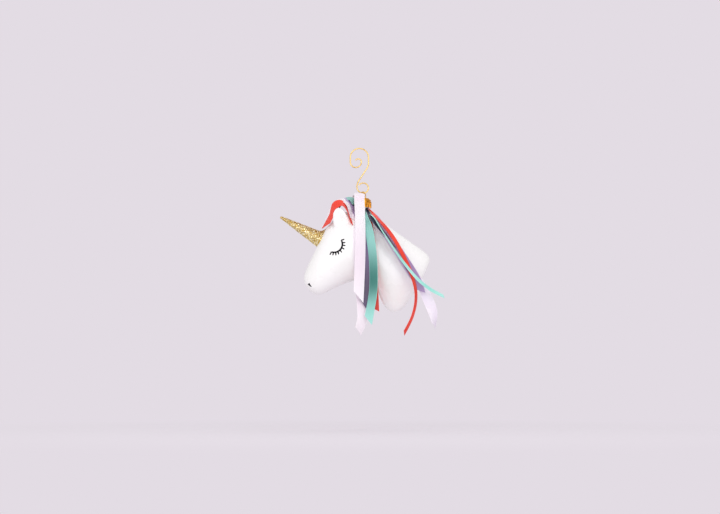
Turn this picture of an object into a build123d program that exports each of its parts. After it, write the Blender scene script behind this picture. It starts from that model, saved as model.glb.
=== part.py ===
from build123d import *
import os
from math import cos, radians, sin

# Unicorn head hanging ornament, in millimetres: hollow glazed head, glitter horn, ribbon mane, cap, hook.
# The muzzle points to -X, the near side is -Y, and the origin is the seat of the hook's arch.

# Hook, bent from one length of wire
hook_wire = 0.9
hook_drop = 31.75
arch_radius = 6.4
curl_leg = 3.2
curl_radius = 3.9
curl_tip_radius = 2.2
curl_tip_turn = 150
shank_radius = 8.0
shank_slant = 33
shank_offset = 8.1
eye_outer_radius = 4.4
eye_radius = 3.6
eye_turn = 235

# Wire loop of the cap, which hangs in the eye
loop_wire = 0.7
loop_radius = 2.4
loop_leg = 2.5
loop_turn = 45
clinch_bend = 0.5
clinch_end = 0.4
hang_gap = 0.1
clinch_gap = 0.05
hole_clearance = 0.3

# Pressed cap over the head's collar
cap_sheet = 0.4
cap_height = 6.6
crown_step = 0.9
cap_rounding = 0.15
flute_count = 20
flute_radius = 0.38
flute_top = 1.6
collar_bore = 3.8
collar_wall = 1.0
cap_clearance = 0.15

# Slip-cast head
head_wall = 3.0
head_drop = 1.0
pillow = 2.15
section_points = 12
collar_root = 8.0
horn_length = 32.0
horn_base_radius = 6.75
horn_tip_radius = 0.7
horn_rise = 27.4
horn_root = 4.5
spigot_radius = 3.0
spigot_length = 6.5
glue_gap = 0.1

# Satin ribbons
ribbon_width = 7.0
narrow_width = 3.2
ribbon_thickness = 0.35
ribbon_gap = 0.8
layer_pitch = 1.1
root_pitch = 0.5
root_width = 2.6
gather_length = 14.0
end_cut = 38
strip_steps = 10
forelock_lean = 8

# Where the horn meets the forehead: x and z from the middle of the cap, at the height of the crest
horn_seat = (-29.3, -21.3)

# Head from the muzzle to the neck: crest x and z, throat x and z, half width
head_profile = [
    (-40.7, -54.9, -35.6, -60.3, 4.5),
    (-41.6, -51.4, -31.7, -60.6, 8.5),
    (-41.0, -47.2, -26.8, -59.5, 11.0),
    (-38.7, -41.6, -21.2, -56.8, 12.8),
    (-35.2, -34.6, -13.5, -53.9, 14.2),
    (-31.4, -26.6, -5.1, -51.3, 15.4),
    (-26.5, -15.4, 2.6, -50.4, 16.5),
    (-17.7, -5.6, 6.4, -51.8, 17.2),
    (-6.5, -1.7, 8.5, -54.6, 17.5),
    (6.1, -4.5, 10.3, -58.8, 17.5),
    (15.2, -10.8, 11.7, -64.0, 17.3),
    (23.9, -18.5, 15.2, -69.6, 17.0),
    (32.3, -24.5, 19.4, -73.2, 16.2),
    (39.7, -29.6, 24.6, -72.6, 14.2),
    (44.9, -33.8, 29.5, -68.4, 11.0),
    (46.7, -38.5, 34.1, -61.9, 7.0),
]

# Ear from root to tip: x, distance from the middle, z, width along x, thickness
ear_profile = [
    (-11.5, 9.5, -20.0, 13.0, 6.0),
    (-14.2, 11.8, -13.2, 12.0, 5.2),
    (-15.4, 13.0, -10.0, 11.0, 4.6),
    (-16.7, 13.9, -5.7, 7.6, 3.4),
    (-17.0, 14.3, -3.4, 3.0, 1.6),
]
ear_scoop_share = 0.6

# Forelock ribbons, from the forehead over the poll: x, distance to the near side, z
forelock_routes = {
    "red": [(-25.5, 6.4, -10.5), (-23.2, 6.8, -5.6), (-20.2, 7.4, -0.2), (-16.2, 7.8, 1.4),
            (-12.8, 8.2, -0.8)],
    "white": [(-25.6, 4.8, -9.0), (-23.4, 5.2, -3.8), (-20.4, 5.7, 1.4), (-15.6, 6.1, 3.2),
              (-11.0, 6.6, 1.0), (-10.4, 6.8, -0.6)],
    "lavender": [(-22.9, 3.0, -5.4), (-19.8, 3.5, 1.4), (-15.8, 4.0, 4.4), (-12.0, 4.6, 4.4),
                 (-9.8, 5.2, 2.4)],
    "teal": [(-20.8, 1.2, -3.4), (-17.6, 1.6, 2.8), (-13.8, 2.2, 5.6), (-9.8, 2.9, 5.6)],
}

# Hanging ribbons by colour: layer over the glaze, lean off it, width, x and z from root to cut end
near_routes = {
    "red": (0, 0, ribbon_width, [(3.2, -6.5), (5.8, -25.7), (8.2, -46.2), (8.9, -59.8), (8.9, -72.7)]),
    "long_white": (1, 0, ribbon_width, [(-2.0, -5.5), (-3.9, -22.0), (-3.3, -40.9), (-1.7, -59.9),
                                        (0.0, -74.8), (-0.3, -87.0)]),
    "purple": (2, 0, ribbon_width, [(0.2, -5.0), (1.2, -26.0), (2.1, -46.5), (1.7, -60.0), (0.4, -70.1)]),
    "teal": (4.4, 0, ribbon_width, [(2.8, -5.5), (3.8, -15.2), (5.5, -25.9), (6.5, -38.3), (6.8, -51.9),
                                    (6.1, -64.1), (4.1, -75.6), (3.1, -82.3)]),
    "white": (5.6, 0, ribbon_width, [(-2.3, 6.3), (-2.3, -0.8), (-2.1, -10.0), (-2.0, -22.5), (-2.1, -36.4),
                                     (-2.6, -50.0), (-3.5, -64.1)]),
}
back_routes = {
    "red": (0, 25, narrow_width, [(7.4, -7.4), (14.2, -14.6), (20.3, -23.9), (26.3, -37.8), (30.3, -46.7),
                                  (33.7, -51.9), (35.6, -58.4), (35.7, -64.6), (34.6, -72.7),
                                  (31.6, -81.9), (27.5, -89.0)]),
    "lilac": (1.5, 25, ribbon_width, [(7.6, -8.0), (17.0, -20.2), (27.9, -35.9), (36.0, -47.8),
                                      (41.4, -58.1), (45.4, -68.4), (48.5, -74.5), (47.8, -84.1)]),
    "lavender": (3, 25, ribbon_width, [(7.6, -8.4), (19.6, -27.7), (25.0, -36.3), (34.3, -46.0),
                                       (37.9, -54.8), (38.9, -60.3)]),
    "navy": (5.4, 25, narrow_width, [(7.4, -8.6), (12.8, -19.4), (19.5, -29.5), (25.6, -37.9),
                                     (30.9, -44.9)]),
    "mint": (7.4, 25, narrow_width, [(7.4, -8.4), (15.4, -23.9), (24.8, -39.4), (31.6, -46.3),
                                     (36.3, -51.8), (43.6, -58.2), (50.5, -63.0), (54.1, -64.6)]),
}
far_routes = {
    "red": (0, 0, ribbon_width, [(3.2, -6.5), (6.0, -24.0), (7.0, -44.0), (7.4, -60.0), (6.8, -74.0)]),
    "teal": (1, 0, ribbon_width, [(-2.0, -5.5), (-4.6, -26.0), (-5.0, -44.0), (-4.6, -62.0),
                                  (-3.2, -79.5)]),
    "purple": (2, 0, ribbon_width, [(1.0, -5.0), (2.4, -27.0), (2.6, -47.0), (2.0, -66.0)]),
    "white": (4, 0, ribbon_width, [(-2.3, 6.3), (-2.3, -0.8), (-2.0, -10.0), (-1.8, -22.5), (-2.0, -38.0),
                                   (-1.6, -56.0), (-0.6, -69.0)]),
}

# Places that follow from the sizes
arch_top = hook_wire / 2
eye_x = arch_radius - shank_offset + eye_outer_radius
eye_bottom = arch_top - hook_drop
loop_centre = eye_bottom + hook_wire / 2 + hang_gap + loop_wire / 2 - loop_radius
crown_top = loop_centre - loop_leg
clinch_axis = crown_top - cap_sheet - clinch_gap - loop_wire / 2
cap_foot = crown_top - cap_height
collar_radius = collar_bore + collar_wall
collar_top = crown_top - crown_step - cap_sheet
skirt_radius = collar_radius + cap_clearance + cap_sheet
head_origin = Vector(eye_x, 0, cap_foot + head_drop)
cap_reach = skirt_radius + flute_radius + ribbon_gap
upright = (Align.CENTER, Align.CENTER, Align.MIN)


def chain(start, heading, steps):
    """Straight runs (a length) and arcs (a radius and a turn) laid end to end."""
    pieces = []
    place = Vector(start)
    direction = Vector(heading)
    for step in steps:
        if isinstance(step, tuple):
            piece = JernArc(place, direction, step[0], step[1])
        else:
            piece = Line(place, place + direction * step)
        pieces.append(piece)
        place = piece @ 1
        direction = piece % 1
    return pieces


def bent_wire(top, left_steps, right_steps, diameter, plane):
    """A round wire bent down to both sides of the top of its arch, in one plane."""
    left = chain((0, top), (-1, 0), left_steps)
    right = chain((0, top), (1, 0), right_steps)
    path = Wire([plane * edge for edge in reversed(left)] + [plane * edge for edge in right])
    section = Plane(origin=path @ 0, z_dir=path % 0) * Circle(diameter / 2)
    return sweep(section, path=path)


def make_hook():
    slant = radians(shank_slant)
    run = (shank_offset - 2 * shank_radius * (1 - cos(slant))) / sin(slant)
    shank_height = 2 * shank_radius * sin(slant) + run * cos(slant)
    straight = hook_drop - arch_radius - eye_outer_radius - shank_height
    left = [(arch_radius, 90), curl_leg, (curl_radius, 180), (curl_tip_radius, curl_tip_turn)]
    right = [(arch_radius, -90), straight, (shank_radius, -shank_slant), run, (shank_radius, shank_slant),
             (eye_outer_radius, 90), (eye_radius, eye_turn)]
    return bent_wire(arch_top, left, right, hook_wire, Plane.XZ)


def loop_plane():
    """Upright plane of the cap's loop, turned about the vertical through the eye."""
    turn = radians(loop_turn)
    return Plane(origin=(eye_x, 0, 0), x_dir=(cos(turn), sin(turn), 0), z_dir=(sin(turn), -cos(turn), 0))


def make_loop():
    leg = loop_centre - clinch_axis - clinch_bend
    left = [(loop_radius, 90), leg, (clinch_bend, -90), clinch_end]
    right = [(loop_radius, -90), leg, (clinch_bend, 90), clinch_end]
    return bent_wire(loop_centre + loop_radius, left, right, loop_wire, loop_plane())


def make_cap():
    """Raised crown, flange and fluted skirt in one pressed sheet, with two holes for the loop."""
    raised = collar_bore + cap_sheet
    flange = crown_top - crown_step
    inside = skirt_radius - cap_sheet
    outline = FilletPolyline((0, crown_top), (raised, crown_top), (raised, flange), (skirt_radius, flange),
                             (skirt_radius, cap_foot), (inside, cap_foot), (inside, collar_top),
                             (collar_bore, collar_top), (collar_bore, crown_top - cap_sheet),
                             (0, crown_top - cap_sheet), radius=cap_rounding)
    profile = make_face(outline + Line(outline @ 1, outline @ 0))
    sheet = revolve(Plane.XZ * profile, Axis.Z)
    flute = Pos(0, 0, cap_foot) * Cylinder(flute_radius, flange - flute_top - cap_foot, align=upright)
    sheet += PolarLocations(skirt_radius, flute_count) * flute
    turn = radians(loop_turn)
    for side in (-1, 1):
        spot = Pos(side * loop_radius * cos(turn), side * loop_radius * sin(turn), crown_top)
        sheet -= spot * Cylinder(loop_wire / 2 + hole_clearance, 2 * crown_step)
    return Pos(eye_x, 0, 0) * sheet


def rounded_face(plane, half_length, half_width):
    """A pillow-shaped closed section, fuller than an ellipse."""
    rim = []
    for step in range(section_points):
        turn = radians(360 * step / section_points)
        swell = (abs(cos(turn)) ** pillow + abs(sin(turn)) ** pillow) ** (-1 / pillow)
        rim.append((half_length * swell * cos(turn), half_width * swell * sin(turn)))
    return plane * make_face(Spline(rim, periodic=True))


def head_section(row, inset):
    """A section across the head from crest to throat, shrunk by an inset."""
    crest = head_origin + Vector(row[0], 0, row[1])
    throat = head_origin + Vector(row[2], 0, row[3])
    span = throat - crest
    plane = Plane(origin=(crest + throat) / 2, x_dir=span, z_dir=span.cross(Vector(0, 1, 0)))
    return rounded_face(plane, span.length / 2 - inset, row[4] - inset)


def make_ear(side):
    """A leaf-shaped ear with a shallow scoop in its outer face."""
    leaf = []
    scoop = []
    for x, out, z, width, thickness in ear_profile:
        place = head_origin + Vector(x, side * out, z)
        leaf.append(rounded_face(Plane(place), width / 2, thickness / 2))
        hollow = head_origin + Vector(x, side * (out + thickness * ear_scoop_share), z)
        scoop.append(rounded_face(Plane(hollow), ear_scoop_share * width / 2, thickness / 2))
    return loft(leaf) - loft(scoop[1:])


def make_body():
    """The head's and neck's outside, without ears."""
    return loft([head_section(row, 0) for row in head_profile])


def horn_place():
    seat = head_origin + Vector(horn_seat[0], 0, horn_seat[1])
    rise = radians(horn_rise)
    return Plane(origin=seat, x_dir=(0, 1, 0), z_dir=(-cos(rise), 0, sin(rise)))


def make_head(skull):
    """Hollow casting with a collar for the cap and a socket for the horn."""
    cavity = loft([head_section(row, head_wall) for row in head_profile[1:-1]])
    foot = head_origin.Z - collar_root
    collar = Pos(eye_x, 0, foot) * Cylinder(collar_radius, collar_top - foot, align=upright)
    bore = Pos(eye_x, 0, foot) * Cylinder(collar_bore, collar_top - foot, align=upright)
    socket = horn_place() * Cylinder(spigot_radius + glue_gap, 2 * spigot_length)
    return skull + collar - cavity - bore - socket


def make_horn(skull):
    """A cone saddled on the forehead, with a spigot for the socket."""
    taper = (horn_base_radius - horn_tip_radius) / horn_length
    root_radius = horn_base_radius + taper * horn_root
    cone = Cone(root_radius, horn_tip_radius, horn_length + horn_root, align=upright)
    cone = horn_place() * Pos(0, 0, -horn_root) * cone - skull
    spigot = Cylinder(spigot_radius, spigot_length + horn_root, align=upright)
    return cone + horn_place() * Pos(0, 0, -spigot_length) * spigot


def strip(places, tangents, facings, widths):
    """A thin ribbon lofted through flat sections, with a slanting cut at its end."""
    sections = []
    for index, place in enumerate(places):
        along = tangents[index].normalized()
        across = along.cross(facings[index]).normalized()
        width = widths[index]
        if index == len(places) - 1:
            cut = radians(end_cut)
            across, along = across * cos(cut) - along * sin(cut), along * cos(cut) + across * sin(cut)
            width = width / cos(cut)
        sections.append(Plane(origin=place, x_dir=across, z_dir=along) * Rectangle(width, ribbon_thickness))
    return loft(sections, ruled=True)


def flow(places):
    """Directions along a row of places."""
    last = len(places) - 1
    return [places[min(index + 1, last)] - places[max(index - 1, 0)] for index in range(last + 1)]


def side_depth(glaze, place):
    """How far the glaze stands out from the middle plane there, and 0 beside the head."""
    hits = glaze.find_intersection_points(Axis((place.X, 0, place.Z), (0, 1, 0)))
    return max((abs(point.Y) for point, normal in hits), default=0)


def hanging_strip(glaze, side, layer, lean, full_width, route):
    """A ribbon gathered at its root, laid over the side of the head and then hanging plumb."""
    path = Spline([head_origin + Vector(x, 0, z) for x, z in route])
    depth = cap_reach
    places = []
    widths = []
    facings = []
    for step in range(strip_steps + 1):
        share = step / strip_steps
        place = path @ share
        along = path % share
        upper = Vector(-along.Z, 0, along.X)
        opened = 1 if route[0][1] > 0 else min(1, share * path.length / gather_length)
        width = root_width + (full_width - root_width) * opened
        tilt = radians(lean * opened)
        edge = upper * width / 2
        surface = max(side_depth(glaze, place + edge), side_depth(glaze, place - edge))
        pitch = root_pitch + (layer_pitch - root_pitch) * opened
        stand_off = ribbon_gap + layer * pitch + sin(tilt) * width / 2
        depth = max(depth, surface + stand_off)
        places.append(Vector(place.X, side * depth, place.Z))
        widths.append(width)
        facings.append(Vector(0, side * cos(tilt), 0) + upper * sin(tilt))
    return strip(places, flow(places), facings, widths)


def forelock_strip(route):
    """A ribbon standing over the poll from the forehead to the gather."""
    path = Spline([head_origin + Vector(x, -out, z) for x, out, z in route])
    lean = radians(forelock_lean)
    places = []
    facings = []
    for step in range(strip_steps + 1):
        place = path @ (step / strip_steps)
        along = path % (step / strip_steps)
        places.append(place)
        facings.append(Vector(0, -cos(lean), 0) + Vector(-along.Z, 0, along.X).normalized() * sin(lean))
    return strip(places, flow(places), facings, [ribbon_width] * len(places))


def build():
    body = make_body()
    glaze = body.faces().sort_by(SortBy.AREA)[-1]
    skull = body + make_ear(-1) + make_ear(1)
    nodes = {
        "ornament_hook": make_hook(),
        "cap_loop": make_loop(),
        "ornament_cap": make_cap(),
        "head_shell": make_head(skull),
        "horn": make_horn(skull),
    }
    for colour, route in forelock_routes.items():
        nodes[f"forelock_{colour}"] = forelock_strip(route)
    for colour, laid in near_routes.items():
        nodes[f"near_{colour}"] = hanging_strip(glaze, -1, *laid)
    for colour, laid in back_routes.items():
        nodes[f"back_{colour}"] = hanging_strip(glaze, -1, *laid)
    for colour, laid in far_routes.items():
        nodes[f"far_{colour}"] = hanging_strip(glaze, 1, *laid)
    return nodes


os.makedirs("parts", exist_ok=True)
for name, shape in build().items():
    export_step(shape, f"parts/{name}.step")
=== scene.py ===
# %% [markdown]
# # A unicorn head ornament
# The real thing is a small glazed head that hangs from a bent wire hook. It has a glitter horn, a pressed
# cap with a wire loop, and a mane and forelock of satin ribbon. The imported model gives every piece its
# place and its joints. This lesson gives each piece its surface, softens the head, and turns flat strips
# into ribbon.

from math import atan2, cos, degrees, pi, radians, sin, tan
from random import Random

import bmesh
import bpy
from mathutils import Matrix, Vector, noise
from mathutils.bvhtree import BVHTree


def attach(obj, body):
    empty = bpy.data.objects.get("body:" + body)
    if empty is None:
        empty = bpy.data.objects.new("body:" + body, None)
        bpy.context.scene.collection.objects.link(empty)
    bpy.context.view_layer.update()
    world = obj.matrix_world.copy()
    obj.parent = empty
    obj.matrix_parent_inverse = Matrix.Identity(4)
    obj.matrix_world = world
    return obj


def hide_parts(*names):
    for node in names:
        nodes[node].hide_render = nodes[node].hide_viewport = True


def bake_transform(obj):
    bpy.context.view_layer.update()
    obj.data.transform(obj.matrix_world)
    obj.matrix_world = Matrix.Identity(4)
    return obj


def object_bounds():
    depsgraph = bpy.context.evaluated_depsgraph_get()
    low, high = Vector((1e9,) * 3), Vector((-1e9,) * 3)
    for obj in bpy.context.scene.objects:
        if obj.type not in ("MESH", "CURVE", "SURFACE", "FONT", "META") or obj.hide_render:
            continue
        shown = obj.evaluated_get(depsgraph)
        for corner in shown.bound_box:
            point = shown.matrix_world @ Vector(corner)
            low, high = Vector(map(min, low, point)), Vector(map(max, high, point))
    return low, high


MM = 0.001
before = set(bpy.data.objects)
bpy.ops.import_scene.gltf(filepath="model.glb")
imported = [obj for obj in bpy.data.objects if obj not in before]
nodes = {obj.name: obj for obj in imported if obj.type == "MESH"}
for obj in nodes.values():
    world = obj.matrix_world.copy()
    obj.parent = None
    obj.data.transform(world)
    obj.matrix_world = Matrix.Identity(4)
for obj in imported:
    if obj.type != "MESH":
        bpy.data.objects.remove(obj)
cad_low, cad_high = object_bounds()
print("solids span", [round(side / MM, 1) for side in cad_high - cad_low], "mm")

# %% [markdown]
# ## The camera
# The picture looks at the near side, from a little below the muzzle, so the lens points slightly up. A long
# lens from nearly a metre away keeps the small head free of distortion. The picture counts as 720 by 514
# pixels, and the ornament fills only its middle.


# %% Point the camera
def into_scene(name, data):
    """A new object of the scene, at the origin."""
    thing = bpy.data.objects.new(name, data)
    bpy.context.scene.collection.objects.link(thing)
    return thing


camera_tilt = 6.34
camera_data = bpy.data.cameras.new("ornament_camera")
camera_data.lens = 62.43
camera_data.sensor_width = 36.0
camera_data.clip_start = 0.01
camera = into_scene("ornament_camera", camera_data)
camera.location = Vector((0.44, -863.0, -172.1)) * MM
camera.rotation_euler = (radians(90 + camera_tilt), 0, 0)
bpy.context.scene.camera = camera
print("camera looks up by", round(degrees(camera.rotation_euler.x) - 90, 2), "degrees")

# %% [markdown]
# ## A shorthand for shader nodes
# A finish is a small sum: some noise, times a strength, added to a colour. Wiring each sum by hand hides
# what it says, so one class wraps a node's output and lets Python's own signs add the Math nodes. Every
# other node comes from its one method.


# %% Shader values that add up
class Value:
    """One output of a shader node, which takes part in sums as a number does."""

    def __init__(self, tree, output=None):
        self.tree = tree
        self.output = output

    def node(self, kind, settings, inputs, pick=0):
        """Add a node: first its settings, then the values or links of its inputs."""
        made = self.tree.nodes.new("ShaderNode" + kind)
        for name, setting in settings.items():
            setattr(made, name, setting)
        for name, value in inputs.items():
            feed(self.tree, made.inputs[name], value)
        return Value(self.tree, made.outputs[pick])

    def maths(self, operation, first, second):
        return self.node("Math", {"operation": operation}, {0: first, 1: second})

    def __add__(self, other):
        return self.maths("ADD", self, other)

    def __radd__(self, other):
        return self.maths("ADD", other, self)

    def __sub__(self, other):
        return self.maths("SUBTRACT", self, other)

    def __rsub__(self, other):
        return self.maths("SUBTRACT", other, self)

    def __mul__(self, other):
        return self.maths("MULTIPLY", self, other)

    def __rmul__(self, other):
        return self.maths("MULTIPLY", other, self)

    def __abs__(self):
        return self.node("Math", {"operation": "ABSOLUTE"}, {0: self})

    def wave(self):
        """A sine wave of this value, from 0 to 1."""
        return self.node("Math", {"operation": "SINE"}, {0: self}) * 0.5 + 0.5

    def step(self, low, high):
        """A soft step from 0 at low to 1 at high."""
        limits = {"Value": self, "From Min": low, "From Max": high}
        return self.node("MapRange", {"interpolation_type": "SMOOTHSTEP"}, limits)

    def between(self, first, second):
        """A colour between two others, with this value as the share of the second."""
        return self.node("Mix", {"data_type": "RGBA"}, {0: self, 6: first, 7: second}, 2)


def feed(tree, socket, value):
    """Set a socket to a plain value, or link it to a shader value."""
    if isinstance(value, Value):
        tree.links.new(value.output, socket)
    else:
        socket.default_value = value


def paint(code):
    """A colour written as six hexadecimal digits, in the linear light of the shaders."""
    light = []
    for start in (0, 2, 4):
        share = int(code[start:start + 2], 16) / 255
        light.append(share / 12.92 if share < 0.04045 else ((share + 0.055) / 1.055) ** 2.4)
    return (*light, 1)


def new_finish(name):
    """A fresh material, a value to start its sums from, and a way to set its shader."""
    finish = bpy.data.materials.new(name)
    finish.use_nodes = True
    tree = finish.node_tree
    shader = tree.nodes["Principled BSDF"]

    def set_shader(**sockets):
        for name, value in sockets.items():
            feed(tree, shader.inputs[name.replace("_", " ")], value)

    return finish, Value(tree), set_shader


def bump(start, height, depth):
    """A normal that rises and falls with a height from 0 to 1, by a depth in metres."""
    return start.node("Bump", {}, {"Strength": 1.0, "Distance": depth, "Height": height}, "Normal")


print("white paint in linear light:", [round(part, 3) for part in paint("FDFDFC")])

# %% [markdown]
# ## The studio
# The ornament hangs over a plain pale floor. Far from the ornament the floor fades to the colour of the
# backdrop, so that no horizon shows, and near it the floor keeps the soft shadow. A single strong lamp would
# bleach the white glaze on one side. So a white sky and one large lamp beside the camera give most of the
# light, and two weak lamps, high on the left and behind, only shape the edges.

# %% Backdrop
backdrop = paint("E3DCE4")
sky = bpy.data.worlds.new("studio")
bpy.context.scene.world = sky
sky.use_nodes = True
sky.node_tree.nodes.clear()
sky_start = Value(sky.node_tree)
seen = sky_start.node("LightPath", {}, {}, "Is Camera Ray")
mirrored = sky_start.node("LightPath", {}, {}, "Is Glossy Ray")
through = sky_start.node("LightPath", {}, {}, "Is Transmission Ray")
ambient = sky_start.node("Background", {}, {"Color": (1, 1, 1, 1), "Strength": 0.82})
paper = sky_start.node("Background", {}, {"Color": backdrop, "Strength": 1.0})
look = seen + mirrored + through
both = sky_start.node("MixShader", {}, {0: look, 1: ambient, 2: paper})
sky_out = sky.node_tree.nodes.new("ShaderNodeOutputWorld")
sky.node_tree.links.new(both.output, sky_out.inputs["Surface"])
print("backdrop in linear light:", [round(part, 3) for part in backdrop[:3]])


# %% Floor
def mesh_from(skin, name):
    """A mesh in the shape of a bmesh, which isn't needed after that."""
    made = bpy.data.meshes.new(name)
    skin.to_mesh(made)
    skin.free()
    return made


floor_height = -195 * MM
floor_radius = 2.0
fade_start = 0.2
fade_end = 0.42
floor_mesh = bmesh.new()
bmesh.ops.create_circle(floor_mesh, cap_ends=True, segments=96, radius=floor_radius)
bmesh.ops.translate(floor_mesh, verts=floor_mesh.verts, vec=(0, 0, floor_height))
floor_data = mesh_from(floor_mesh, "floor")
floor = into_scene("floor", floor_data)

floor_finish, start, set_shader = new_finish("floor_paper")
spot = start.node("TexCoord", {}, {}, "Object")
reach = start.node("VectorMath", {"operation": "LENGTH"}, {0: spot}, "Value")
grain = start.node("TexNoise", {}, {"Vector": spot, "Scale": 400.0, "Detail": 3.0}, "Fac")
set_shader(Base_Color=grain.between(paint("E7E0E8"), paint("ECE5ED")), Roughness=0.9)
far_off = reach.step(fade_start, fade_end)
glow = start.node("Emission", {}, {"Color": backdrop, "Strength": 1.0})
floor_tree = floor_finish.node_tree
near_paper = Value(floor_tree, floor_tree.nodes["Principled BSDF"].outputs[0])
floor_mix = start.node("MixShader", {}, {0: far_off, 1: near_paper, 2: glow})
floor_tree.links.new(floor_mix.output, floor_tree.nodes["Material Output"].inputs["Surface"])
floor_data.materials.append(floor_finish)
print("floor at", floor_height, "m")

# %% Lamps
# place in metres, width in metres, power in watts
lamp_rows = {
    "key_lamp": ((-0.42, -0.8, 0.5), 0.6, 0.4),
    "fill_lamp": ((0.04, -0.9, -0.1), 0.7, 4.0),
    "top_lamp": ((0.1, 0.35, 0.7), 0.6, 0.4),
}
aim = (cad_low + cad_high) / 2
for name, (place, size, watts) in lamp_rows.items():
    lamp_data = bpy.data.lights.new(name, "AREA")
    lamp_data.size = size
    lamp_data.energy = watts
    lamp = into_scene(name, lamp_data)
    lamp.location = place
    lamp.rotation_euler = (aim - Vector(place)).to_track_quat("-Z", "Y").to_euler()
bpy.context.scene.view_settings.view_transform = "Standard"
print("lamps:", list(lamp_rows))

# %% [markdown]
# ## Gold wire and pressed gold cap
# The hook and the loop are brass-plated wire, and the cap is thin plated sheet with flutes round its skirt.
# Their solids already have the right shape, so they keep it and only get a finish: a bright metal whose
# plating is a little cloudy, with fine drawing marks.


# %% Gold finishes
def gold_finish(name, bright, dull, cloud_scale, polish):
    """Plated metal that is dull in clouds of some size."""
    finish, start, set_shader = new_finish(name)
    place = start.node("TexCoord", {}, {}, "Object")
    cloud = start.node("TexNoise", {}, {"Vector": place, "Scale": cloud_scale, "Detail": 5.0}, "Fac")
    marks = start.node("TexNoise", {}, {"Vector": place, "Scale": 6000.0, "Detail": 2.0}, "Fac")
    tarnish = cloud.step(0.45, 0.75)
    set_shader(Base_Color=tarnish.between(paint(bright), paint(dull)), Metallic=1.0,
               Roughness=polish + tarnish * 0.12 + marks * 0.06,
               Normal=bump(start, marks, 0.02 * MM))
    return finish


gold_wire = gold_finish("gold_wire", "F0D184", "B98A3A", 420.0, 0.16)
gold_cap = gold_finish("gold_cap", "DC9A38", "7E4A14", 700.0, 0.2)
for node, finish in {"ornament_hook": gold_wire, "cap_loop": gold_wire, "ornament_cap": gold_cap}.items():
    nodes[node].data.materials.clear()
    nodes[node].data.materials.append(finish)
print("gold on the hook, the loop and the cap")

# %% [markdown]
# ## The head
# The real head is slip-cast in one piece, so nothing on it has a sharp edge: muzzle, cheeks, ears and neck
# flow into each other. One way is to sculpt a ball. Here the head is a row of rings from the muzzle to the
# neck, bridged into a skin and subdivided, because the solid is lofted through such rings too. The ears are
# two more rows of rings. A voxel remesh then fuses them with the collar, and smoothing runs the clay together
# at the roots.

# %% Rings to skin
head_middle = Vector((2.7, 0, -40.9)) * MM
ring_segments = 24
ring_growth = 1.012
pillow = 2.15

# crest x and z, throat x and z, half width, in millimetres from the middle of the cap
head_rings = [
    (-40.7, -54.9, -35.5, -61.2, 4.5),
    (-41.6, -51.4, -31.4, -61.9, 8.5),
    (-41.0, -47.2, -26.5, -60.7, 11.0),
    (-38.7, -41.6, -21.0, -57.4, 12.8),
    (-35.2, -34.6, -13.5, -53.9, 14.2),
    (-31.4, -26.6, -5.1, -51.3, 15.4),
    (-26.5, -15.4, 2.6, -50.4, 16.5),
    (-17.7, -5.6, 6.4, -51.8, 17.2),
    (-6.5, -1.7, 8.5, -54.6, 17.5),
    (6.1, -4.5, 10.3, -58.8, 17.5),
    (14.9, -12.0, 11.7, -64.0, 17.3),
    (23.9, -18.5, 15.0, -70.4, 17.0),
    (32.3, -24.5, 19.2, -74.6, 16.2),
    (39.7, -29.6, 24.7, -73.8, 14.2),
    (45.4, -34.0, 29.9, -69.2, 11.0),
    (47.6, -38.8, 34.8, -62.0, 7.0),
]


def at_head(x, y, z):
    """A place in millimetres from the middle of the cap, in the shared frame."""
    return head_middle + Vector((x, y, z)) * MM


def swell(corner):
    """How far a pillow-shaped ring stands out, in one direction of a unit circle."""
    return (abs(corner.x) ** pillow + abs(corner.y) ** pillow) ** (-1 / pillow)


def add_ring(skin, placing, scoop):
    """One ring of a skin: a circle that is filled out, hollowed on one side, and put in place."""
    ring = bmesh.ops.create_circle(skin, cap_ends=False, segments=ring_segments, radius=1.0)["verts"]
    for corner in ring:
        corner.co *= swell(corner.co)
        if corner.co.y > 0:
            corner.co.y *= 1 - scoop * (1 - min(1, abs(corner.co.x))) ** 0.6
    bmesh.ops.transform(skin, matrix=placing, verts=ring)
    return list({edge for corner in ring for edge in corner.link_edges})


def close_skin(skin, rings):
    """Bridge a row of rings and close both ends."""
    for first, second in zip(rings, rings[1:]):
        bmesh.ops.bridge_loops(skin, edges=first + second)
    for ring in (rings[0], rings[-1]):
        bmesh.ops.contextual_create(skin, geom=ring)
    bmesh.ops.recalc_face_normals(skin, faces=skin.faces)


def placed_ring(middle, first_axis, second_axis):
    """The matrix that lays a unit ring along two half-axes."""
    third_axis = first_axis.cross(second_axis).normalized()
    placing = Matrix((first_axis, second_axis, third_axis)).transposed().to_4x4()
    placing.translation = middle
    return placing


head_skin = bmesh.new()
head_edges = []
for crest_x, crest_z, throat_x, throat_z, half_width in head_rings:
    crest = at_head(crest_x, 0, crest_z)
    throat = at_head(throat_x, 0, throat_z)
    half_span = (throat - crest) / 2 * ring_growth
    sideways = Vector((0, half_width * MM * ring_growth, 0))
    head_edges.append(add_ring(head_skin, placed_ring((crest + throat) / 2, half_span, sideways), 0))
close_skin(head_skin, head_edges)
print("head skin:", len(head_skin.faces), "faces")

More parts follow.
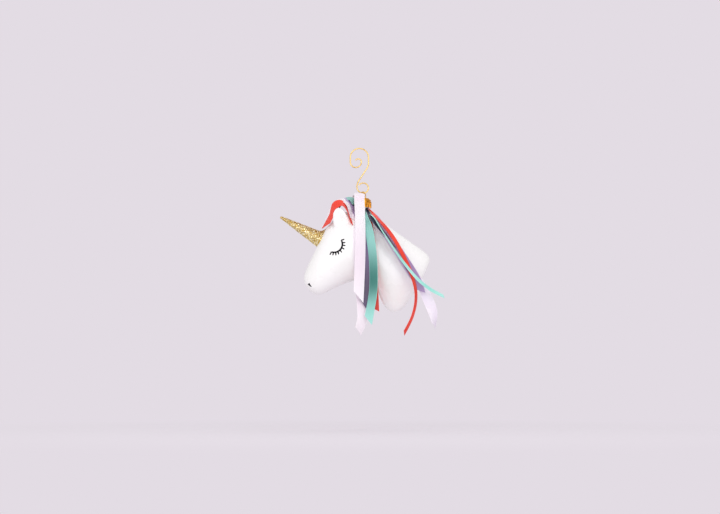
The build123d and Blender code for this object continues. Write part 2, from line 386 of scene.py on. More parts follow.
# %% Ears and collar
# x, distance from the middle, z, width along x, thickness, hollow of the outer face
ear_rings = [
    (-11.5, 9.5, -22.0, 14.0, 6.0, 0.0),
    (-13.8, 11.6, -15.2, 13.4, 5.6, 0.3),
    (-15.2, 12.9, -10.6, 12.2, 5.0, 0.85),
    (-16.4, 13.8, -6.4, 9.4, 4.0, 0.85),
    (-16.9, 14.2, -3.6, 5.2, 2.6, 0.5),
    (-17.1, 14.3, -2.4, 1.6, 1.2, 0.0),
]
ear_skin = bmesh.new()
for side in (-1, 1):
    ear_edges = []
    for x, out, z, width, thickness, scoop in ear_rings:
        along = Vector((width / 2 * MM, 0, 0))
        outward = Vector((0, side * thickness / 2 * MM, 0))
        ear_edges.append(add_ring(ear_skin, placed_ring(at_head(x, side * out, z), along, outward), scoop))
    close_skin(ear_skin, ear_edges)

collar_radius = 4.8 * MM
collar_top = -36.6 * MM
collar_foot = -50.0 * MM
collar = bmesh.new()
bmesh.ops.create_cone(collar, cap_ends=True, segments=64, radius1=collar_radius, radius2=collar_radius,
                      depth=collar_top - collar_foot)
middle_height = (collar_top + collar_foot) / 2
bmesh.ops.translate(collar, verts=collar.verts, vec=(head_middle.x, 0, middle_height))
print("ears:", len(ear_skin.faces), "faces, collar:", len(collar.faces), "faces")


# %% Fuse the clay
def settled(skin, name, modifiers):
    """The mesh that a row of modifiers makes of a skin."""
    piece = into_scene(name, mesh_from(skin, name))
    for kind, settings in modifiers:
        modifier = piece.modifiers.new(kind.lower(), kind)
        for setting, value in settings.items():
            setattr(modifier, setting, value)
    graph = bpy.context.evaluated_depsgraph_get()
    made = bpy.data.meshes.new_from_object(piece.evaluated_get(graph))
    bpy.data.objects.remove(piece)
    return made


subdivide = ("SUBSURF", {"levels": 3, "render_levels": 3})
skull = settled(head_skin, "skull", [subdivide])
clay = bmesh.new()
for part_skin in (skull, settled(ear_skin, "ears", [subdivide]), settled(collar, "collar", [])):
    clay.from_mesh(part_skin)
fuse = ("REMESH", {"mode": "VOXEL", "voxel_size": 0.62 * MM})
soften = ("SMOOTH", {"factor": 0.5, "iterations": 14})
head_data = settled(clay, "glazed_head", [fuse, soften])
head_data.polygons.foreach_set("use_smooth", [True] * len(head_data.polygons))
glazed_head = into_scene("glazed_head", head_data)
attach(glazed_head, "head")
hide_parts("head_shell")


def surface_tree(mesh):
    """A mesh's faces, sorted so that rays can be cast at them."""
    corners = [corner.co for corner in mesh.vertices]
    return BVHTree.FromPolygons(corners, [face.vertices for face in mesh.polygons])


head_tree = surface_tree(head_data)
skull_tree = surface_tree(skull)
print("glazed head:", len(head_data.polygons), "faces")

# %% [markdown]
# ## The glaze
# Clear white glaze pools in a thin glassy layer over white clay. A plain white would look like plastic, so
# the gloss varies a little where the glaze is thinner and the surface has the faint ripple of a dipped coat.
# The hollows of the ears get a painted pink shade, which stands in for shade and the red ribbons' reflection.

# %% Glaze finish
# painted shade: a pink tint in the hollow of each ear, in place of shade and the red ribbons' reflection
painted_ear_shade = head_data.attributes.new("painted_ear_shade", "FLOAT", "POINT")
ear_hollow = at_head(-15.0, 13.6, -11.0)
ear_shade_width = 3.0 * MM
ear_shade_height = 5.5 * MM
for corner in head_data.vertices:
    away = Vector((corner.co.x, abs(corner.co.y), corner.co.z)) - ear_hollow
    spread = Vector((away.x / ear_shade_width, away.y / ear_shade_width, away.z / ear_shade_height)).length
    painted_ear_shade.data[corner.index].value = max(0, 1 - spread) ** 1.5

glaze, start, set_shader = new_finish("white_glaze")
place = start.node("TexCoord", {}, {}, "Object")
ripple = start.node("TexNoise", {}, {"Vector": place, "Scale": 260.0, "Detail": 2.0}, "Fac")
pool = start.node("TexNoise", {}, {"Vector": place, "Scale": 55.0, "Detail": 3.0}, "Fac")
pinholes = start.node("TexVoronoi", {}, {"Vector": place, "Scale": 900.0}, "Distance")
ear_shade_mask = start.node("Attribute", {"attribute_name": "painted_ear_shade"}, {}, "Fac")
clay_white = pool.step(0.3, 0.7).between(paint("F9F8F6"), paint("FCFBFA"))
# the pink of the ear hollows is painted shade and painted reflection
set_shader(Base_Color=(ear_shade_mask * 0.4).between(clay_white, paint("F2CFC6")),
           Roughness=0.24 + pool.step(0.35, 0.75) * 0.1 + pinholes.step(0.06, 0.02) * 0.1,
           Coat_Weight=0.2 + pool * 0.2, Coat_Roughness=0.14, IOR=1.5,
           Normal=bump(start, ripple, 0.05 * MM))
head_data.materials.append(glaze)
print("most blush:", round(max(item.value for item in painted_ear_shade.data), 2))

# %% [markdown]
# ## The painted face
# A closed eye with lashes and a small comma of a nostril are brushed on each side in black. They could be a
# mask in the glaze, but a mask has no edge of its own. Each stroke is a flat strip that is bent along its
# line, laid on the glaze by casting rays at the head, and given the thickness of paint.


# %% Brush strokes
ray_start = 60 * MM
brush_columns = 4
brush_tip = 0.2 * MM
paint_lift = 0.03 * MM
paint_thickness = 0.09 * MM


def side_hit(tree, x, z, side):
    """Where a ray from one side meets a surface, or None beside it."""
    return tree.ray_cast(Vector((x, side * ray_start, z)), Vector((0, -side, 0)))[0]


def brush_stroke(face, line, widths, side):
    """A strip along a line of x and z on one side of the head, as wide as the brush at each point."""
    steps = len(line) - 1
    strip = bmesh.ops.create_grid(face, x_segments=steps, y_segments=brush_columns, size=0.5)["verts"]
    for corner in strip:
        index = round((corner.co.x + 0.5) * steps)
        heading = (line[min(index + 1, steps)] - line[max(index - 1, 0)]).normalized()
        tip = brush_tip * (1 - corner.co.y ** 2) if index == steps else 0
        spot = line[index] + heading.orthogonal() * corner.co.y * widths[index] + heading * tip
        hit = side_hit(head_tree, spot.x, spot.y, side)
        corner.co = hit + Vector((0, side * paint_lift, 0))


print("paint stands", round((paint_lift + paint_thickness) / MM, 2), "mm proud at most")

# %% Eyes and nostrils
eye_middle = Vector((-19.8, -28.3))
lid_radius = 5.5
lid_angles = (31, -109)
lash_angles = (29, 10, -6, -25, -46, -64, -80, -96, -111)
lash_length = 2.0
lash_lean = 2.0
nostril = (Vector((-37.7, -54.6)), Vector((-37.0, -55.6)), Vector((-35.7, -56.7)))
lid_shares = [step / 36 for step in range(37)]
stroke_shares = [step / 6 for step in range(7)]


def on_side(flat):
    """An x and z of the painted face, in the shared frame."""
    return Vector((head_middle.x + flat.x * MM, head_middle.z + flat.y * MM))


def round_eye(angle, radius):
    """A place round the middle of the painted eye, on the side of the head."""
    return on_side(eye_middle + Vector((cos(radians(angle)), sin(radians(angle)))) * radius)


def lash_line(angle):
    """A lash from the lid outward, leaning a little towards the muzzle."""
    return [round_eye(angle - lash_lean * share, lid_radius + lash_length * share) for share in stroke_shares]


def comma_at(share):
    """A place along the comma of the nostril, which bends once."""
    top, bend, tail = nostril
    return on_side(top.lerp(bend, share).lerp(bend.lerp(tail, share), share))


lid_start, lid_end = lid_angles
lid = [round_eye(lid_start + (lid_end - lid_start) * share, lid_radius) for share in lid_shares]
lid_widths = [(1.0 + 0.25 * sin(pi * share)) * MM for share in lid_shares]
lash_widths = [(1.05 - 0.3 * share) * MM for share in stroke_shares]
comma_widths = [(1.5 - 1.02 * share) * MM for share in stroke_shares]
face_paint = bmesh.new()
for side in (-1, 1):
    brush_stroke(face_paint, lid, lid_widths, side)
    for angle in lash_angles:
        brush_stroke(face_paint, lash_line(angle), lash_widths, side)
    brush_stroke(face_paint, [comma_at(share) for share in stroke_shares], comma_widths, side)
bmesh.ops.recalc_face_normals(face_paint, faces=face_paint.faces)
for patch in face_paint.faces:
    if patch.normal.y * patch.calc_center_median().y < 0:
        patch.normal_flip()
bmesh.ops.solidify(face_paint, geom=face_paint.faces, thickness=paint_thickness)
paint_data = mesh_from(face_paint, "painted_face")
painted_face = into_scene("painted_face", paint_data)
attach(painted_face, "head")
print("face paint:", len(paint_data.polygons), "faces")

# %% Black underglaze
black, start, set_shader = new_finish("black_underglaze")
place = start.node("TexCoord", {}, {}, "Object")
bristle = start.node("TexNoise", {}, {"Vector": place, "Scale": 2500.0, "Detail": 4.0}, "Fac")
set_shader(Base_Color=bristle.between(paint("050608"), paint("15161C")), Roughness=0.4 + bristle * 0.25,
           Specular_IOR_Level=0.15, Normal=bump(start, bristle, 0.02 * MM))
paint_data.materials.append(black)
print("black on", len(lash_angles), "lashes a side")

# %% [markdown]
# ## The glitter horn
# The horn is a clay cone rolled in coarse gold glitter. Noise in a shader can sparkle, but from the side the
# outline would stay smooth, so the cone gets real flakes: small six-sided tablets, each tilted its own way
# and each its own shade of gold. Under them the glue coat shows as a rough darker gold. The glue runs up in
# a narrow ridge where the top of the horn meets the forehead.

# %% Cone
horn_seat = at_head(-29.4, 0, -23.4)
horn_rise = radians(29.6)
horn_axis = Vector((-cos(horn_rise), 0, sin(horn_rise)))
horn_length = 32.6 * MM
horn_root = 4.5 * MM
horn_base = 5.4 * MM
horn_tip = 0.7 * MM
root_flare = 5.2 * MM
flare_reach = 4.2 * MM
flare_sharpness = 6
glue_ripple = 0.02
ripple_scale = 900


def horn_radius(reach, turn):
    """The cone's radius at a distance from its seat, with the ridge of glue on its upper side at the root."""
    taper = horn_base + (horn_tip - horn_base) * reach / horn_length
    rooted = min(1, max(0, 1 - reach / flare_reach))
    return taper + root_flare * rooted ** 2 * max(0, sin(turn)) ** flare_sharpness


horn_turn = horn_axis.to_track_quat("Z", "Y").to_matrix().to_4x4()
horn_mesh = bmesh.new()
bmesh.ops.create_cone(horn_mesh, cap_ends=True, segments=48, radius1=horn_base, radius2=horn_base,
                      depth=horn_length + horn_root)
long_edges = [edge for edge in horn_mesh.edges if abs(edge.verts[0].co.z - edge.verts[1].co.z) > MM]
bmesh.ops.subdivide_edges(horn_mesh, edges=long_edges, cuts=40, use_grid_fill=True)
bmesh.ops.translate(horn_mesh, verts=horn_mesh.verts, vec=(0, 0, (horn_length - horn_root) / 2))
for corner in horn_mesh.verts:
    turn = atan2(corner.co.y, corner.co.x)
    radius = horn_radius(corner.co.z, turn) * (1 + glue_ripple * noise.noise(corner.co * ripple_scale))
    corner.co.x = radius * cos(turn)
    corner.co.y = radius * sin(turn)
print("cone:", len(horn_mesh.faces), "faces")

# %% Flakes
flake_count = 2600
flake_height = (0.02, 0.16)
flake_size = (0.2, 0.44)
flake_depth = 0.12 * MM
flake_tilt = 17
least_shade = 0.1
draw = Random(11)
shade = horn_mesh.verts.layers.float.new("shade")
for _ in range(flake_count):
    share = 1 - (1 - draw.random()) ** 0.5
    reach = share * horn_length
    round_turn = draw.uniform(0, 2 * pi)
    out = horn_radius(reach, round_turn) + draw.uniform(*flake_height) * MM
    lie = Matrix.Translation((out * cos(round_turn), out * sin(round_turn), reach))
    lie @= Matrix.Rotation(round_turn, 4, "Z") @ Matrix.Rotation(radians(90), 4, "Y")
    for axis in ("X", "Y"):
        lie @= Matrix.Rotation(radians(draw.gauss(0, flake_tilt)), 4, axis)
    lie @= Matrix.Rotation(draw.uniform(0, pi), 4, "Z")
    size = draw.uniform(*flake_size) * MM
    tablet = bmesh.ops.create_cone(horn_mesh, cap_ends=True, segments=6, radius1=size, radius2=0.8 * size,
                                   depth=flake_depth, matrix=lie)["verts"]
    tone = draw.random()
    for corner in tablet:
        corner[shade] = least_shade + (1 - least_shade) * tone
bmesh.ops.transform(horn_mesh, matrix=Matrix.Translation(horn_seat) @ horn_turn, verts=horn_mesh.verts)
horn_data = mesh_from(horn_mesh, "glitter_horn")
glitter_horn = into_scene("glitter_horn", horn_data)
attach(glitter_horn, "head")
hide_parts("horn")
print("horn:", len(horn_data.polygons), "faces")

# %% Glitter finish
# the glue coat has shade 0, and the flakes have more
glitter, start, set_shader = new_finish("gold_glitter")
place = start.node("TexCoord", {}, {}, "Object")
tone = start.node("Attribute", {"attribute_name": "shade"}, {}, "Fac")
grit = start.node("TexVoronoi", {}, {"Vector": place, "Scale": 2600.0}, "Distance")
glue = grit.between(paint("B08C38"), paint("E0C068"))
leaf = tone.step(0.1, 0.6).between(paint("DDBE64"), paint("FDF3BE"))
bright_leaf = tone.step(0.55, 1.0).between(leaf, paint("FFF8D6"))
flaked = tone.step(0.02, 0.08)
gold = flaked.between(glue, bright_leaf)
# painted reflection: the upper side of the horn is painted a darker brown, as a dark surface above would
# mirror in it
facing = start.node("NewGeometry", {}, {}, "Normal")
painted_top_reflection = start.node("SeparateXYZ", {}, {0: facing}, "Z").step(0.3, 0.85)
set_shader(Base_Color=(painted_top_reflection * 0.8).between(gold, paint("8E4E1E")), Metallic=flaked * 0.25 + 0.7,
           Roughness=0.5 - flaked * 0.26, Normal=bump(start, grit, 0.05 * MM))
horn_data.materials.append(glitter)
print("glitter flakes:", flake_count)

# %% [markdown]
# ## Satin
# Satin ribbon is woven with long floats, so it is smooth and bright along its length and shows fine lines.
# Each edge is a firm selvedge that catches the light. The finish follows the ribbon's own flat map: one unit
# along is one width, and across it runs from 0 to 1. Its colour runs from a painted shade to a painted
# highlight: it is painted brighter where the ribbon faces up, and in slow bands of painted sheen along it.


# %% Satin finishes
def satin_finish(name, light, shade_colour, gloss):
    """Satin with its threads along the ribbon, painted from a shade colour to a highlight colour by how it
    faces and by slow bands along it.
    """
    finish, start, set_shader = new_finish(name)
    flat = start.node("UVMap", {"uv_map": "flat"}, {}, "UV")
    along = start.node("SeparateXYZ", {}, {0: flat}, "X")
    across = Value(start.tree, along.output.node.outputs["Y"])
    edge = abs(across - 0.5).step(0.43, 0.47)
    threads = (across * 260.0).wave()
    weft = (along * 340.0).wave()
    stretch = start.node("CombineXYZ", {}, {"X": along * 0.5, "Y": across * 14.0})
    slub = start.node("TexNoise", {}, {"Vector": stretch, "Scale": 3.0, "Detail": 4.0}, "Fac")
    # painted light: brighter where the ribbon faces up, and in slow bands of painted sheen along its length
    facing = start.node("NewGeometry", {}, {}, "Normal")
    painted_top_light = start.node("SeparateXYZ", {}, {0: facing}, "Z").step(-0.05, 0.35)
    painted_sheen_band = (along * 0.74 - 1.2).wave()
    body = (painted_sheen_band * 0.6 + painted_top_light * 0.25 + slub * 0.15).between(paint(shade_colour), paint(light))
    woven = threads * 0.6 + weft * 0.25 + slub * 0.5 + edge * 0.8
    set_shader(Base_Color=(edge * 0.5).between(body, paint(light)),
               Roughness=gloss + slub * 0.12 - edge * 0.05,
               Specular_IOR_Level=0.45, Sheen_Weight=0.08, Sheen_Roughness=0.3, Sheen_Tint=paint(light),
               Normal=bump(start, woven, 0.02 * MM))
    return finish


# each ribbon has its highlight colour first, then its painted shade colour
satin = {
    "red": satin_finish("satin_red", "F5432C", "E02F1B", 0.32),
    "white": satin_finish("satin_white", "FBF5FA", "EFDFEB", 0.32),
    "lilac": satin_finish("satin_lilac", "FAF3FB", "E0D1EA", 0.32),
    "lavender": satin_finish("satin_lavender", "C4AAD6", "8D6C9B", 0.32),
    "purple": satin_finish("satin_purple", "786590", "4C3A58", 0.3),
    "navy": satin_finish("satin_navy", "34374F", "1A1C2E", 0.3),
    "teal": satin_finish("satin_teal", "AFF0E6", "1E7166", 0.3),
    "mint": satin_finish("satin_mint", "B2EEE4", "8CDDCF", 0.32),
}
print("satin colours:", list(satin))

# %% [markdown]
# ## Cutting and hanging a ribbon
# A ribbon starts flat, as it comes off the roll: a long grid, trimmed on the slant, with its flat map laid
# on. Then it is carried to its line. The line is a NURBS spline through the route of its strip, and a second
# spline beside it says which way the ribbon faces, so a twist is one number at each point. Near the knot the
# ribbon is gathered into pleats. At last each point that would lie in the head is lifted onto the glaze.


# %% Lines
def smooth_line(points):
    """Points along a NURBS spline with these control points."""
    line = bpy.data.curves.new("line", "CURVE")
    line.dimensions = "3D"
    line.resolution_u = 16
    spline = line.splines.new("NURBS")
    spline.points.add(len(points) - 1)
    for control, point in zip(spline.points, points):
        control.co = (*point, 1)
    spline.order_u = 3
    spline.use_endpoint_u = True
    guide = into_scene("line", line)
    traced = bpy.data.meshes.new_from_object(guide)
    found = [corner.co.copy() for corner in traced.vertices]
    bpy.data.objects.remove(guide)
    bpy.data.meshes.remove(traced)
    bpy.data.curves.remove(line)
    return found


def lengths(line):
    """How far along a line each of its points lies."""
    run = [0.0]
    for before, after in zip(line, line[1:]):
        run.append(run[-1] + (after - before).length)
    return run


def along_line(line, run, reach):
    """The place at a distance along a line, and straight on past its end."""
    index = 1
    while index < len(run) - 1 and run[index] < reach:
        index += 1
    share = (reach - run[index - 1]) / max(run[index] - run[index - 1], 1e-9)
    return line[index - 1].lerp(line[index], share)


plumb = smooth_line([Vector((0, 0, -drop * MM)) for drop in (0, 30, 60)])
print("a plumb line of 60 mm measures", round(lengths(plumb)[-1] / MM, 2), "mm")

# %% A flat length of ribbon
ribbon_width = 7.0 * MM
narrow_width = 3.2 * MM
ribbon_thickness = 0.22 * MM
ribbon_gap = 0.45 * MM
cell = 0.9 * MM
cells_across = 8


def flat_ribbon(length, width, cut):
    """A flat length of ribbon with one end trimmed on the slant, and its flat map."""
    spare = width / 2 * tan(radians(abs(cut)))
    whole = length + spare
    ribbon = bmesh.new()
    bmesh.ops.create_grid(ribbon, x_segments=round(whole / cell), y_segments=cells_across, size=0.5)
    bmesh.ops.translate(ribbon, verts=ribbon.verts, vec=(0.5, 0, 0))
    bmesh.ops.scale(ribbon, verts=ribbon.verts, vec=(whole, width, 1))
    slant = Vector((cos(radians(cut)), sin(radians(cut)), 0))
    everything = ribbon.verts[:] + ribbon.edges[:] + ribbon.faces[:]
    bmesh.ops.bisect_plane(ribbon, geom=everything, plane_co=(length, 0, 0), plane_no=slant, clear_outer=True)
    flat = ribbon.loops.layers.uv.new("flat")
    for patch in ribbon.faces:
        for loop in patch.loops:
            loop[flat].uv = (loop.vert.co.x / width, loop.vert.co.y / width + 0.5)
    return ribbon


print("ribbons are", ribbon_width / MM, "and", narrow_width / MM, "mm wide")

# %% Bend it along its line
gather_share = 0.36
pleat_depth = 0.4 * MM
pleat_count = 2.5
ribbon_crown = 0.22 * MM
look_ahead = 0.2 * MM
crease = radians(50)


def make_ribbon(name, colour, centres, facings, width, cut, side, gather):
    """Cut a ribbon, bend it along its line, and lift it off the head."""
    rail = []
    for index, centre in enumerate(centres):
        before = centres[max(index - 1, 0)]
        after = centres[min(index + 1, len(centres) - 1)]
        across = (after - before).normalized().cross(facings[index]).normalized()
        rail.append(centre + across * width / 2)
    line = smooth_line(centres)
    edge_line = smooth_line(rail)
    run = lengths(line)
    ribbon = flat_ribbon(run[-1], width, cut)
    for corner in ribbon.verts:
        reach = corner.co.x
        aside = corner.co.y / (width / 2)
        middle = along_line(line, run, reach)
        ahead = along_line(line, run, reach + look_ahead) - along_line(line, run, reach - look_ahead)
        half = along_line(edge_line, run, reach) - middle
        half = half - ahead * (half.dot(ahead) / ahead.length_squared)
        half = half.normalized() * width / 2
        opened = min(1, reach / gather) if gather else 1
        opened = opened * opened * (3 - 2 * opened)
        spread = gather_share + (1 - gather_share) * opened
        pleat = (1 - opened) * pleat_depth * cos(aside * pi * pleat_count)
        face = half.cross(ahead).normalized()
        bulge = ribbon_crown * (1 - aside * aside) * (width / ribbon_width)
        corner.co = middle + half * aside * spread + face * (pleat + bulge)
        hit = side_hit(skull_tree, corner.co.x, corner.co.z, side)
        if hit is not None and corner.co.y * side < hit.y * side + ribbon_gap:
            corner.co.y = hit.y + side * ribbon_gap
    bmesh.ops.recalc_face_normals(ribbon, faces=ribbon.faces)
    bmesh.ops.solidify(ribbon, geom=ribbon.faces, thickness=ribbon_thickness)
    for seam in ribbon.edges:
        seam.smooth = seam.calc_face_angle(0) < crease
    ribbon_data = mesh_from(ribbon, name)
    ribbon_data.polygons.foreach_set("use_smooth", [True] * len(ribbon_data.polygons))
    ribbon_data.materials.append(satin[colour])
    piece = into_scene(name, ribbon_data)
    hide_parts(name.replace("ribbon_", ""))
    return piece, line


print("gathered to", gather_share, "of the width at the knot")

# %% [markdown]
# ## The hanging mane
# Ribbons hang from the knot at the cap on three sides. The near and far ones fall over the cheeks, and the
# back ones run down the neck: two wide ones under three narrow ones. A cloth simulation could drop them, but
# it wouldn't land each one where the real one lies. So each route follows the middle line of the ribbon, with
# its cut end last. Each lies on the layers under it, and hangs plumb once it has left the head. All of them
# are limp flat cords with a bare cut end.


# %% Hang the ribbons
knot_reach = 6.9
pile_gap = 0.55
mane_swing = {
    "near_mane": (at_head(0, -8, -4), at_head(0, -14, -20)),
    "far_mane": (at_head(0, 8, -4), at_head(0, 14, -20)),
    "back_mane": (at_head(7, -12, -7), at_head(16, -14, -20)),
}
piles = {group: [skull_tree] for group in mane_swing}


def pile_height(group, x, z, side):
    """How far out the head and the ribbons hung so far stand there, in millimetres, and 0 beside them."""
    spot = at_head(x, 0, z)
    hits = [side_hit(tree, spot.x, spot.z, side) for tree in piles[group]]
    return max(abs(hit.y) / MM if hit is not None and hit.y * side > 0 else 0 for hit in hits)


def hang(group, name, colour, width, cut, lead, rows, gather=14):
    """A hanging ribbon, a limp flat cord.

    Each row of the lead from the knot is x, distance outward, z, and how far the face tips up. Each row of
    the route is x, z, extra distance outward, and how far the ribbon turns on its edge, in millimetres and
    degrees.
    """
    side = 1 if group == "far_mane" else -1
    half = width / MM / 2
    centres = []
    facings = []
    out = knot_reach
    for x, lead_out, z, tip in lead:
        centres.append(at_head(x, side * lead_out, z))
        facings.append(Vector((0, side * cos(radians(tip)), sin(radians(tip)))))
    for index, (x, z, extra, turn) in enumerate(rows):
        after = rows[min(index + 1, len(rows) - 1)]
        before = rows[max(index - 1, 0)]
        along = Vector((after[0] - before[0], 0, after[1] - before[1])).normalized()
        upper = Vector((-along.z, 0, along.x))
        lean = radians(turn)
        edge = upper * half * cos(lean)
        under = max(pile_height(group, x + share * edge.x, z + share * edge.z, side)
                    for share in (-1, -0.5, 0, 0.5, 1))
        out = max(out, under + pile_gap + abs(sin(lean)) * half)
        centres.append(at_head(x, side * (out + extra), z))
        facings.append(Vector((0, side * cos(lean), 0)) + upper * sin(lean))
    piece, line = make_ribbon("ribbon_" + name, colour, centres, facings, width, cut, side, gather * MM)
    piles[group].append(surface_tree(piece.data))
    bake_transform(piece)
    print(name, "is", round(lengths(line)[-1] / MM, 1), "mm long")


near_crown = [(0.5, 3.9, 6.2, 86), (-1.4, 5.0, 8.0, 74), (-2.5, 6.5, 8.7, 56), (-2.8, 8.0, 6.2, 18)]
far_crown = [(-1.0, 2.9, 6.2, 86), (-3.0, 4.5, 8.2, 74), (-4.4, 6.3, 8.6, 56), (-4.4, 7.9, 6.2, 18)]

# %% Near side
hang("near_mane", "near_red", "red", ribbon_width, 30, [],
     [(4.0, -6.5, 0, 0), (6.2, -25.7, 0, 0), (6.4, -46.2, 0, 4), (6.6, -59.8, 0, 0),
      (7.2, -72.7, 0, -6)], gather=44)
hang("near_mane", "near_long_white", "white", ribbon_width, 28, [],
     [(-2.0, -5.5, 0, 0), (-3.9, -22.0, 0, 0), (-3.3, -40.9, 0, 0), (-1.7, -59.9, 0, 4),
      (-0.6, -72.0, 0, 0), (-0.4, -80.5, 0.6, 15), (-3.3, -88.0, 1.2, 40)])
hang("near_mane", "near_purple", "purple", ribbon_width, 52, [],
     [(0.2, -5.0, 0, 0), (1.2, -26.0, 0, 0), (2.1, -46.5, 0, -4), (1.9, -60.0, 0, 0), (0.9, -71.1, 0.4, 8)])
hang("near_mane", "near_teal", "teal", ribbon_width, 42, [(0.4, 7.4, -3.4, 10)],
     [(1.5, -9.0, 0, -50), (3.5, -16.2, 0, -42), (4.9, -24.8, 0, -38), (6.3, -35.0, 0, -38),
      (7.0, -46.4, 0, -38), (7.0, -57.0, 0, -38), (6.3, -64.4, 0.4, -38), (4.8, -72.6, 1.4, -36),
      (3.3, -80.9, 3.0, -34)], gather=24)
hang("near_mane", "near_white", "white", ribbon_width, 47, near_crown,
     [(-2.6, 1.0, 0, 0), (-2.1, -10.0, 0, 3), (-2.0, -22.5, 0, -2), (-2.1, -36.4, 0, 0),
      (-2.6, -50.0, 0.3, 4), (-3.3, -65.1, 1.4, 9)], gather=4)

# %% Far side
hang("far_mane", "far_red", "red", ribbon_width, 35, [],
     [(3.2, -6.5, 0, 0), (5.0, -24.0, 0, 0), (5.4, -44.0, 0, 3), (5.2, -60.0, 0, 0), (4.2, -74.0, 0, -8)])
hang("far_mane", "far_teal", "teal", ribbon_width, 40, [],
     [(-2.0, -5.5, 0, 0), (-3.6, -26.0, 0, 0), (-2.6, -44.0, 0, -3), (-1.0, -62.0, 0, 0),
      (0.4, -79.5, 1, 6)])
hang("far_mane", "far_purple", "purple", ribbon_width, -40, [],
     [(1.0, -5.0, 0, 0), (2.4, -27.0, 0, 0), (2.6, -47.0, 0, 4), (2.0, -66.0, 0, 0)])
hang("far_mane", "far_white", "white", ribbon_width, 42, far_crown,
     [(-2.6, 1.0, 0, 0), (-2.0, -10.0, 0, 0), (-1.8, -22.5, 0, 3), (-2.0, -38.0, 0, 0),
      (-1.6, -56.0, 0.4, -3), (-0.6, -69.0, 1.5, -10)], gather=7)

# %% Down the neck
hang("back_mane", "back_lilac", "lilac", ribbon_width, 30, [(2.4, 6.0, -2.2, 20), (5.2, 8.6, -7.0, 20)],
     [(9.8, -13.4, 0, 40), (16.6, -23.0, 0, 36), (24.4, -34.6, 0, 28), (31.2, -45.4, 0, 20),
      (37.2, -53.8, 0, 22), (41.3, -59.7, 0, 30), (43.3, -65.2, 0, 5), (46.0, -71.3, 0, 0),
      (47.7, -77.4, 0, 35), (48.1, -84.2, 0, 72)])
hang("back_mane", "back_lavender", "lavender", ribbon_width, 30, [(2.4, 6.4, -2.2, 20), (5.4, 9.2, -7.0, 20)],
     [(10.2, -12.8, 0, 60), (16.8, -21.6, 0, 54), (22.2, -30.0, 0, 48), (27.2, -38.4, 0, 38),
      (32.2, -46.6, 0, 30), (36.4, -53.8, 0, 28), (38.2, -60.8, 0, 24)])
hang("back_mane", "back_navy", "navy", narrow_width, 30, [(2.2, 8.4, -2.0, 25), (3.2, 11.8, -5.6, 25)],
     [(5.2, -9.6, 1.2, 18), (8.2, -14.1, 0.8, 24), (11.6, -18.9, 0.4, 36), (15.3, -23.5, 0, 50),
      (18.4, -27.4, 0, 62), (21.2, -31.6, 0, 70)])
hang("back_mane", "back_red", "red", narrow_width, 35, [(2.8, 6.6, -1.6, 25), (5.0, 8.8, -4.4, 25)],
     [(8.6, -9.3, 0.4, 48), (15.1, -17.2, 0.4, 42), (21.3, -26.0, 0.3, 38), (25.9, -34.6, 0.2, 36),
      (29.9, -43.0, 0, 38), (33.4, -52.0, 0, 44), (35.3, -59.6, 0, 50), (35.6, -66.2, 0, 54),
      (34.7, -73.0, 0, 56), (31.8, -82.0, 0.6, 56), (27.3, -89.6, 1.4, 52)])
hang("back_mane", "back_mint", "mint", narrow_width, -30, [(2.4, 6.9, -1.8, 25), (4.2, 9.4, -5.4, 25)],
     [(7.9, -11.0, 0, 68), (11.7, -18.8, 0, 72), (17.0, -27.5, 0, 70), (22.7, -36.2, 0, 62),
      (29.1, -45.0, 0, 54), (36.3, -53.6, 0, 50), (41.4, -57.9, 0, 46), (47.2, -62.0, 0, 44),
      (53.8, -65.0, 0, 50)])

# %% [markdown]
# ## The forelock
# Four short lengths of the same ribbon arch from the forehead over the poll, drop behind the near ear and are
# tucked under the mane. The end on the forehead is cut on the slant. They lie one behind the other, turned
# half on edge, and each arch is a little larger than the one before it. They are glued down at both ends, so
# they don't hang: they simply ride on the head.


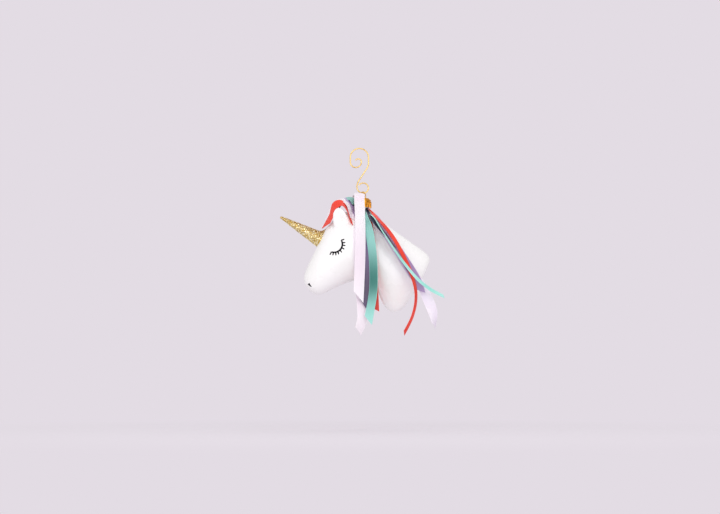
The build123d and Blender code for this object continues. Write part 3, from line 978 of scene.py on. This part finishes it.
# %% Forelock ribbons
def forelock(name, colour, cut, rows):
    """A standing ribbon. Each row of its route is x, distance to the near side, z and turn in degrees."""
    centres = [at_head(x, -out, z) for x, out, z, turn in reversed(rows)]
    facings = []
    for index, (x, out, z, turn) in enumerate(reversed(rows)):
        along = (centres[min(index + 1, len(rows) - 1)] - centres[max(index - 1, 0)]).normalized()
        upper = Vector((along.z, 0, -along.x)).normalized()
        facings.append(Vector((0, -cos(radians(turn)), 0)) + upper * sin(radians(turn)))
    piece, line = make_ribbon("ribbon_" + name, colour, centres, facings, ribbon_width, cut, -1, 0)
    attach(piece, "head")
    print(name, "is", round(lengths(line)[-1] / MM, 1), "mm long")


forelock("forelock_red", "red", -42,
         [(-25.6, 6.6, -14.5, 55), (-23.8, 7.2, -10.8, 58), (-21.6, 7.8, -6.8, 60), (-20.7, 8.2, -2.8, 56),
          (-19.2, 8.6, 0.2, 36), (-16.2, 8.8, 1.1, 30), (-13.4, 9.3, 0.0, 56), (-11.7, 10.4, -2.8, 73),
          (-10.0, 11.6, -6.4, 78), (-8.8, 13.0, -10.6, 78), (-7.8, 14.2, -14.8, 78)])
forelock("forelock_white", "white", -35,
         [(-26.6, 4.0, -14.0, 55), (-24.3, 4.2, -9.4, 58), (-22.6, 4.4, -4.2, 60), (-21.0, 4.4, -0.3, 62),
          (-18.9, 4.0, 2.8, 62), (-15.2, 3.8, 4.7, 60), (-11.2, 5.3, 2.9, 53), (-9.0, 7.2, -1.0, 53),
          (-8.1, 9.0, -5.4, 58), (-7.3, 11.2, -10.6, 62)])
forelock("forelock_lavender", "lavender", -40,
         [(-22.6, 1.6, -6.8, 58), (-19.8, 1.6, -1.0, 60), (-17.0, 1.6, 2.8, 60), (-12.4, 1.8, 5.6, 62),
          (-8.4, 2.4, 3.4, 58), (-6.3, 4.2, -0.8, 58), (-5.6, 6.2, -5.0, 62), (-5.2, 8.2, -9.8, 68)])
forelock("forelock_teal", "teal", -40,
         [(-20.4, 0.4, -4.4, 58), (-17.0, 0.4, 1.6, 60), (-12.6, 0.6, 5.4, 60), (-8.8, 1.2, 5.9, 56),
          (-6.4, 2.6, 3.6, 54), (-5.4, 4.0, 0.2, 56)])
